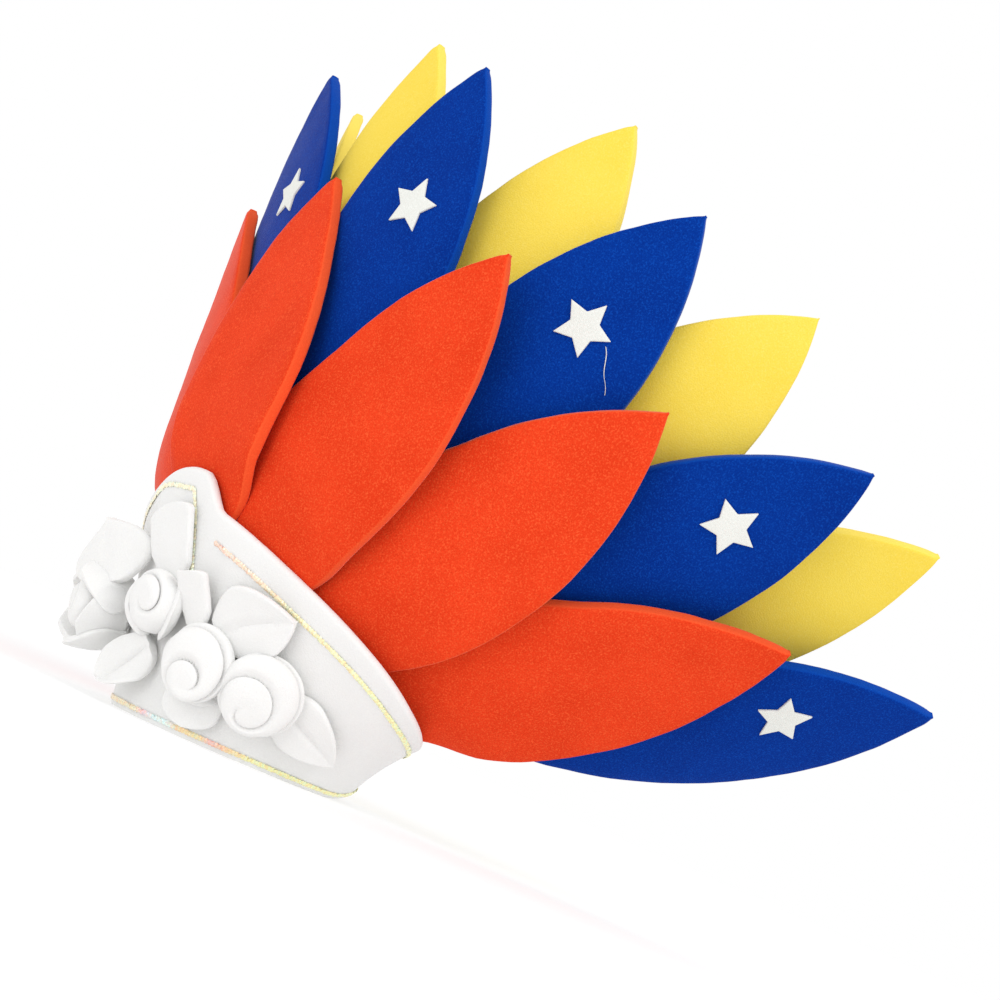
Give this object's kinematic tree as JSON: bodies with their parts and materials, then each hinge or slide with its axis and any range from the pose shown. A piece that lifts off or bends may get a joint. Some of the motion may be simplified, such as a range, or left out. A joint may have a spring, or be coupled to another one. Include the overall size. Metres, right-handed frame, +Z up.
{
  "type": "foam feather headdress",
  "caption": "Carnival headdress of foam rubber: a flared white band with rolled roses and a peak, and fanned rows of leaf-shaped foam feathers with stars.",
  "frame": {"origin": "under the middle of the whole, on the surface that the rim of the band stands on", "axes": "+Z up, -Y the way the wearer looks, +X the wearer's left"},
  "size_m": [0.7454, 0.483, 0.5665],
  "materials": {
    "white_foam": "matte open-cell foam rubber",
    "red_foam": "matte open-cell foam rubber",
    "blue_foam": "matte open-cell foam rubber",
    "yellow_foam": "matte open-cell foam rubber",
    "star_sheet": "matte thin foam sheet",
    "sequin_tape": "iridescent sequin tape"
  },
  "bodies": {
    "root": {"band": "white_foam", "trim_top": "sequin_tape", "trim_bottom": "sequin_tape", "rose_front_right": "white_foam", "rose_front_bud": "white_foam", "rose_left_inner": "white_foam", "rose_left_outer": "white_foam", "rose_right_outer": "white_foam", "leaf_peak": "white_foam", "leaf_upright": "white_foam", "leaf_left_high": "white_foam", "leaf_left_low": "white_foam", "petal_left_inner": "white_foam", "leaf_front_high": "white_foam", "leaf_front_low": "white_foam", "leaf_right_low": "white_foam", "red_middle": "red_foam", "red_right_1": "red_foam", "red_left_1": "red_foam", "red_right_2": "red_foam", "red_left_2": "red_foam", "red_right_3": "red_foam", "red_left_3": "red_foam", "blue_right_1": "blue_foam", "blue_left_1": "blue_foam", "blue_right_2": "blue_foam", "blue_left_2": "blue_foam", "blue_right_3": "blue_foam", "blue_left_3": "blue_foam", "blue_right_4": "blue_foam", "blue_left_4": "blue_foam", "yellow_middle": "yellow_foam", "yellow_right_1": "yellow_foam", "yellow_left_1": "yellow_foam", "yellow_right_2": "yellow_foam", "yellow_left_2": "yellow_foam", "yellow_right_3": "yellow_foam", "yellow_left_3": "yellow_foam", "star_right_4": "star_sheet", "star_right_3": "star_sheet", "star_right_2": "star_sheet", "star_right_1": "star_sheet", "star_left_1": "star_sheet", "star_left_2": "star_sheet", "star_left_3": "star_sheet", "star_left_4": "star_sheet"}
  },
  "joints": []
}
